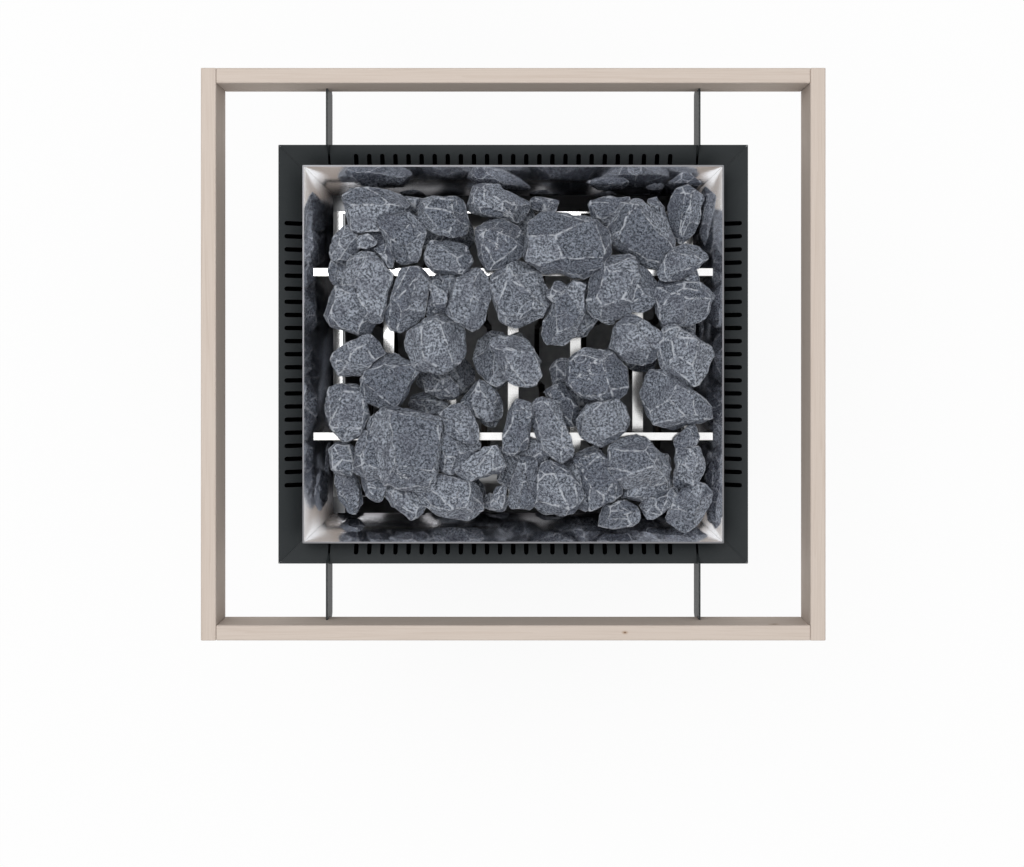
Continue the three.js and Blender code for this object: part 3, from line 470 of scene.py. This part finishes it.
def hulls_of(cad):
    """Corner sets of the convex stones in a node: faces joined over convex edges belong to one stone."""
    shape = bmesh.new()
    shape.from_mesh(cad.data)
    bmesh.ops.remove_doubles(shape, verts=shape.verts, dist=SAME_CORNER)
    shape.normal_update()
    shape.faces.ensure_lookup_table()
    seen = set()
    found = []
    for start in shape.faces:
        if start.index in seen:
            continue
        seen.add(start.index)
        queue = [start]
        corners = set()
        while queue:
            face = queue.pop()
            corners.update(vert.co.to_tuple(7) for vert in face.verts)
            for side in face.edges:
                for other in side.link_faces:
                    if other.index in seen or not bends_out(face, other, side):
                        continue
                    seen.add(other.index)
                    queue.append(other)
        found.append(np.array(sorted(corners)))
    shape.free()
    return [corners for corners in found if len(corners) >= LEAST_CORNERS]


def bends_out(face, other, side):
    """True where two faces of a solid meet in an outside corner or lie flat."""
    apex = next(vert for vert in other.verts if vert not in side.verts)
    return (apex.co - side.verts[0].co).dot(face.normal) < LYING_FLAT


def lattice(points, cell, seed):
    """Smooth random values between -1 and 1 that vary over one cell length."""
    grid = points / cell + LATTICE_ORIGIN
    base = np.floor(grid).astype(np.int64)
    part = grid - base
    part = part * part * (3 - 2 * part)
    total = np.zeros(len(points))
    for corner in range(8):
        step = np.array([corner & 1, (corner >> 1) & 1, (corner >> 2) & 1])
        stirred = np.bitwise_xor.reduce((base + step) * AXIS_PRIMES, axis=1) ^ (seed * SEED_PRIME)
        stirred = (stirred ^ (stirred >> 13)) * STIR_PRIME
        value = ((stirred ^ (stirred >> 16)) & 0xFFFF) / 32767.5 - 1.0
        total += value * np.prod(np.where(step == 1, part, 1 - part), axis=1)
    return total


def drift(points, cell, first_seed):
    """Random offsets along X, Y and Z that vary over one cell length."""
    return np.stack([lattice(points, cell, first_seed + axis) for axis in range(3)], axis=1)


def chip(shape, normal, share):
    """Breaks off what stands beyond a plane that lies at a share of the stone's reach."""
    normal = Vector(normal).normalized()
    middle = sum((vert.co for vert in shape.verts), Vector()) / len(shape.verts)
    reach = max((vert.co - middle).dot(normal) for vert in shape.verts)
    geometry = shape.verts[:] + shape.edges[:] + shape.faces[:]
    at = middle + normal * reach * share
    bmesh.ops.bisect_plane(shape, geom=geometry, plane_co=at, plane_no=normal, clear_outer=True)
    bmesh.ops.holes_fill(shape, edges=[side for side in shape.edges if side.is_boundary], sides=0)


def hull(corners):
    """The convex solid round a stone's corners."""
    shape = bmesh.new()
    for corner in corners:
        shape.verts.new(corner)
    done = bmesh.ops.convex_hull(shape, input=shape.verts)
    spare = done["geom_interior"] + done["geom_unused"]
    inner = {item for item in spare if isinstance(item, bmesh.types.BMVert)}
    bmesh.ops.delete(shape, geom=list(inner), context="VERTS")
    return shape


def strike(shape, rng):
    """Chips a hull's top, slopes, upper edges and sides."""
    for least_lean, most_lean, least_share, most_share in STRUCK_FACES + SLOPES + EDGE_CHIPS:
        turn = rng.uniform(0, 2 * math.pi)
        lean = rng.uniform(least_lean, most_lean)
        normal = (math.cos(turn) * math.sin(lean), math.sin(turn) * math.sin(lean), math.cos(lean))
        chip(shape, normal, rng.uniform(least_share, most_share))
    for _ in range(SIDE_CHIPS):
        turn = rng.uniform(0, 2 * math.pi)
        normal = (math.cos(turn), math.sin(turn), rng.uniform(*SIDE_RISE))
        chip(shape, normal, rng.uniform(*SIDE_SHARE))


def broken_rock(corners, rng, cell):
    """A stone's hull with struck facets and narrow worn edges, cut finely enough to be roughened."""
    shape = hull(corners)
    strike(shape, rng)
    inner_sides = [side for side in shape.edges if len(side.link_faces) == 2]
    bmesh.ops.dissolve_limit(shape, angle_limit=JOINED_ANGLE, verts=shape.verts, edges=inner_sides)
    bmesh.ops.remove_doubles(shape, verts=shape.verts, dist=JOINED_LENGTH)
    rim = shape.faces.layers.int.new("rim")
    facet = shape.faces.layers.int.new("facet")
    for index, face in enumerate(shape.faces):
        face[facet] = index
    inner_sides = [side for side in shape.edges if len(side.link_faces) == 2]
    sharp = [side for side in inner_sides if side.calc_face_angle(0) > FACET_ANGLE]
    worn = bmesh.ops.bevel(
        shape, geom=sharp, offset=WORN_EDGE, segments=1, profile=0.5, affect="EDGES", clamp_overlap=True
    )
    for face in worn["faces"]:
        face[rim] = 1
    bmesh.ops.triangulate(shape, faces=shape.faces[:])
    for _ in range(CUTTING_ROUNDS):
        long_sides = [side for side in shape.edges if side.calc_length() > cell]
        if not long_sides:
            break
        bmesh.ops.subdivide_edges(shape, edges=long_sides, cuts=1, use_grid_fill=True)
        bmesh.ops.triangulate(shape, faces=[face for face in shape.faces if len(face.verts) > 3])
    bmesh.ops.recalc_face_normals(shape, faces=shape.faces[:])
    shape.normal_update()
    shape.verts.index_update()
    points = np.array([vert.co[:] for vert in shape.verts])
    normals = np.array([vert.normal[:] for vert in shape.verts])
    edge = np.array([float(any(face[rim] for face in vert.link_faces)) for vert in shape.verts])
    faces = [tuple(vert.index for vert in face.verts) for face in shape.faces]
    facets = np.array([face[facet] for face in shape.faces])
    shape.free()
    return points, normals, edge, faces, facets


def rock_points(corners, seed, cell):
    """One stone's surface, with swells that bend its edges, small steps and a broken grain."""
    rng = np.random.default_rng(seed)
    points, normals, edge, faces, facets = broken_rock(corners, rng, cell)
    where = points + rng.uniform(0, PATTERN_SPAN, 3)
    moved = drift(where, SWELL_CELL, seed + 1) * SWELL_DEPTH
    moved += drift(where, KNOB_CELL, seed + 4) * KNOB_DEPTH
    steps = lattice(where * STEP_STRETCH, STEP_CELL, seed + 7)
    steps = np.floor(steps * STEP_LEVELS) / STEP_LEVELS * STEP_DEPTH
    rough = lattice(where, GRAIN_CELL, seed + 13) * GRAIN_DEPTH
    points = points + moved + normals * (steps + rough - SHRINKING)[:, None]
    tones = rng.uniform(0, 1, facets.max() + 1)
    return points, faces, edge, STONE_TINT * rng.uniform() + FACET_TINT * tones[facets]


def rock_mesh(name, hulls, seed):
    """All stones of one node in one mesh, with the values that the rock material reads."""
    verts, faces, edges, tints = [], [], [], []
    start = 0
    for number, corners in enumerate(hulls):
        if np.ptp(corners, axis=0).max() < LEAST_STONE:
            continue
        cell = FINE_CELL if corners[:, 2].max() > FINE_ABOVE else COARSE_CELL
        points, triangles, edge, tint = rock_points(corners, seed * SEED_STEP + number, cell)
        verts.append(points)
        faces.extend(tuple(start + i for i in triangle) for triangle in triangles)
        edges.append(edge)
        tints.append(tint)
        start += len(points)
    mesh = bpy.data.meshes.new(name)
    mesh.from_pydata(np.vstack(verts).tolist(), [], faces)
    for label, domain, blocks in (("edge", "POINT", edges), ("tint", "FACE", tints)):
        layer = mesh.attributes.new(label, "FLOAT", domain)
        layer.data.foreach_set("value", np.concatenate(blocks).astype(np.float32))
    mesh.shade_smooth()
    return mesh


for number, name in enumerate(sorted(n for n in NODES if n.startswith("stones_"))):
    mesh = rock_mesh(name + "_rock", hulls_of(NODES[name]), number + FIRST_SEED)
    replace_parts(make_piece(name + "_rock", mesh, LOOKS["stone"], "stove"), name)


# Fasteners

# Screw head: its outline as shares of radius and height, and the hexagon socket in it
SCREW_SIDES = 24
HEAD_OUTLINE = [(1.0, 0.0), (1.0, 0.35), (0.93, 0.62), (0.78, 0.86), (0.56, 1.0)]
SOCKET_SHARE = 0.44
SOCKET_LEVELS = (1.0, 0.3)
HEXAGON_STEP = math.pi / 3

# Screws: radius and height of the head, and the places of the screws
TIMBER_HEAD = (0.0036, 0.0008)
TIMBER_SCREW_INSET = 0.016
TIMBER_SCREW_SINK = 0.0006
TIMBER_SCREW_LEVELS = (
    ("low", RAIL_BOTTOM + TIMBER_SCREW_INSET),
    ("high", RAIL_TOP - TIMBER_SCREW_INSET),
)
BRACKET_HEAD = (0.0042, 0.0026)
BRACKET_SCREW_INSET = 0.0075
BRACKET_SCREW_SHIFT = 0.002
BRACKET_FOOT = 0.0023
CASING_HEAD = (0.0045, 0.0024)
CASING_SCREW_HEIGHT = 0.053
CASING_SCREW_SHARES = (("a", -0.8), ("b", 0.0), ("c", 0.8))
COVER_HEAD = (0.0040, 0.0024)
COVER_SCREW_INSET = 0.012
COVER_SCREW_X = (
    ("left", COVER_LOW[0] + COVER_SCREW_INSET),
    ("right", COVER_HIGH[0] - COVER_SCREW_INSET),
)
COVER_SCREW_Y = (
    ("front", COVER_LOW[1] + COVER_SCREW_INSET),
    ("back", COVER_HIGH[1] - COVER_SCREW_INSET),
)


def screw_mesh(name, radius, height):
    """A domed screw head with a hexagon socket, its underside at the origin and its top along +Z."""
    shape = bmesh.new()
    angles = [2 * math.pi * i / SCREW_SIDES for i in range(SCREW_SIDES)]
    rings = []

    def add_ring(reaches, level):
        places = zip(angles, reaches)
        corners = [(reach * math.cos(angle), reach * math.sin(angle), level) for angle, reach in places]
        rings.append([shape.verts.new(corner) for corner in corners])

    for across, up in HEAD_OUTLINE:
        add_ring([radius * across] * SCREW_SIDES, height * up)
    half = HEXAGON_STEP / 2
    sectors = [(angle + half) % HEXAGON_STEP - half for angle in angles]
    socket = [radius * SOCKET_SHARE * math.cos(half) / math.cos(sector) for sector in sectors]
    for up in SOCKET_LEVELS:
        add_ring(socket, height * up)
    for low, high in zip(rings, rings[1:]):
        for i in range(SCREW_SIDES):
            k = (i + 1) % SCREW_SIDES
            shape.faces.new((low[i], low[k], high[k], high[i]))
    shape.faces.new(rings[-1])
    shape.faces.new(list(reversed(rings[0])))
    mesh = bpy.data.meshes.new(name)
    shape.to_mesh(mesh)
    shape.free()
    return mesh


def screw(name, at, facing, head, body):
    mesh = screw_mesh(name, *head)
    turn = Vector(facing).to_track_quat("Z", "Y").to_matrix().to_4x4()
    mesh.transform(Matrix.Translation(at) @ turn)
    make_piece(name, mesh, LOOKS["screw"], body)


for side, out in (("left", -1), ("right", 1)):
    for end, along in (("front", -1), ("back", 1)):
        for level, z in TIMBER_SCREW_LEVELS:
            at = (out * (RAIL_X - TIMBER_SCREW_SINK), along * (RAIL_Y - TIMBER / 2), z)
            name = f"timber_screw_{side}_{end}_{level}"
            screw(name, at, (out, 0, 0), TIMBER_HEAD, "guard_rail")

for node in sorted(n for n in NODES if n.startswith("bracket_")):
    low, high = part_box(node)
    y = low[1] + BRACKET_SCREW_INSET if low[1] < 0 else high[1] - BRACKET_SCREW_INSET
    shift = BRACKET_SCREW_SHIFT if "left" in node else -BRACKET_SCREW_SHIFT
    at = ((low[0] + high[0]) / 2 + shift, y, RAIL_BOTTOM - BRACKET_FOOT)
    screw(node + "_screw", at, (0, 0, -1), BRACKET_HEAD, "guard_rail")

for side, out in (("front", -1), ("back", 1)):
    for spot, share in CASING_SCREW_SHARES:
        at = (share * CASING_X, out * CASING_Y, CASING_SCREW_HEIGHT)
        screw(f"casing_screw_{side}_{spot}", at, (0, out, 0), CASING_HEAD, "stove")

for side, out in (("left", -1), ("right", 1)):
    for spot, share in CASING_SCREW_SHARES:
        at = (out * CASING_X, share * CASING_Y, CASING_SCREW_HEIGHT)
        screw(f"casing_screw_{side}_{spot}", at, (out, 0, 0), CASING_HEAD, "stove")

for side, x in COVER_SCREW_X:
    for end, y in COVER_SCREW_Y:
        at = (x, y, COVER_LOW[2])
        screw(f"cover_screw_{side}_{end}", at, (0, 0, -1), COVER_HEAD, "stove")


# Rounded edges of timbers and brackets

TIMBER_EDGE = 0.0008
BRACKET_EDGE = 0.0003
EDGE_SEGMENTS = 2
EDGE_ANGLE = math.radians(30)
WELD_LENGTH = 1e-6


def soften(node, width):
    weld = NODES[node].modifiers.new("weld", "WELD")
    weld.merge_threshold = WELD_LENGTH
    bevel = NODES[node].modifiers.new("edge", "BEVEL")
    bevel.width = width
    bevel.segments = EDGE_SEGMENTS
    bevel.limit_method = "ANGLE"
    bevel.angle_limit = EDGE_ANGLE


for node in NODES:
    if node.startswith("rail_"):
        soften(node, TIMBER_EDGE)
    if node.startswith("bracket_"):
        soften(node, BRACKET_EDGE)


# Stage, light and camera

FLOOR_HALF = 6.0
FLOOR_TONE = 0.80
FLOOR_GLOW = 0.88
HORIZON_LIGHT = 0.16
ZENITH_LIGHT = 0.94
HORIZON_LEVEL = -0.1
ZENITH_LEVEL = 0.9
WHITE = rgb(1, 1, 1)


def seen_rays(tree):
    """1 for rays that show a surface, straight or by a mirror, and 0 for rays that gather light."""
    path = add(tree, "LightPath").outputs
    seen = math_node(tree, "MAXIMUM", path["Is Camera Ray"], path["Is Glossy Ray"])
    return math_node(tree, "MAXIMUM", seen, path["Is Transmission Ray"])


def floor_material():
    """White with the object's shadow where it is seen, and a light grey where it lights the object."""
    material, tree = new_material("studio_floor")
    seen = seen_rays(tree)
    tone = mix(tree, seen, rgb(FLOOR_TONE, FLOOR_TONE, FLOOR_TONE), WHITE)
    lit = add(tree, "BsdfDiffuse", {"Color": tone})
    glow = add(tree, "Emission", {"Color": WHITE, "Strength": 1.0})
    share = math_node(tree, "MULTIPLY", seen, FLOOR_GLOW)
    both = add(tree, "MixShader", {0: share, 1: lit.outputs[0], 2: glow.outputs[0]})
    output = add(tree, "OutputMaterial")
    tree.links.new(both.outputs[0], output.inputs["Surface"])
    return material


floor_mesh = bpy.data.meshes.new("studio_floor")
floor_corners = [(FLOOR_HALF * x, FLOOR_HALF * y, 0) for x, y in ((-1, -1), (1, -1), (1, 1), (-1, 1))]
floor_mesh.from_pydata(floor_corners, [], [(0, 1, 2, 3)])
floor_mesh.materials.append(floor_material())
floor = bpy.data.objects.new("studio_floor", floor_mesh)
bpy.context.scene.collection.objects.link(floor)

world = bpy.data.worlds.new("studio")
bpy.context.scene.world = world
world.use_nodes = True
sky = world.node_tree
sky.nodes.clear()
sky_up = height_of(sky, add(sky, "TexCoord").outputs["Generated"])
sky_light = ramp(sky, sky_up, HORIZON_LEVEL, ZENITH_LEVEL, HORIZON_LIGHT, ZENITH_LIGHT)
sky_level = math_node(sky, "MAXIMUM", sky_light, seen_rays(sky))
background = add(sky, "Background", {"Color": WHITE, "Strength": sky_level})
sky_output = add(sky, "OutputWorld")
sky.links.new(background.outputs[0], sky_output.inputs["Surface"])


def area_lamp(name, at, towards, size, power):
    lamp = bpy.data.lights.new(name, "AREA")
    lamp.size = size
    lamp.energy = power
    holder = bpy.data.objects.new(name, lamp)
    holder.location = at
    holder.rotation_euler = (Vector(towards) - Vector(at)).to_track_quat("-Z", "Y").to_euler()
    bpy.context.scene.collection.objects.link(holder)


area_lamp("key_lamp", at=(-0.6, 0.8, 3.8), towards=(0, 0, 0.8), size=1.4, power=28)
area_lamp("fill_lamp", at=(1.8, -2.2, 2.6), towards=(0, 0, 0.6), size=2.2, power=5)

camera_data = bpy.data.cameras.new("camera")
camera_data.sensor_width = SENSOR_MM
camera_data.lens = FOCAL_PX / IMAGE_WIDTH * SENSOR_MM
camera_data.shift_x = (IMAGE_WIDTH / 2 - CENTRE_PX[0]) / IMAGE_WIDTH
camera_data.shift_y = (CENTRE_PX[1] - IMAGE_HEIGHT / 2) / IMAGE_WIDTH
camera = bpy.data.objects.new("camera", camera_data)
camera.location = (0, 0, CAMERA_HEIGHT)
bpy.context.scene.collection.objects.link(camera)
bpy.context.scene.camera = camera
bpy.context.scene.view_settings.view_transform = "Standard"
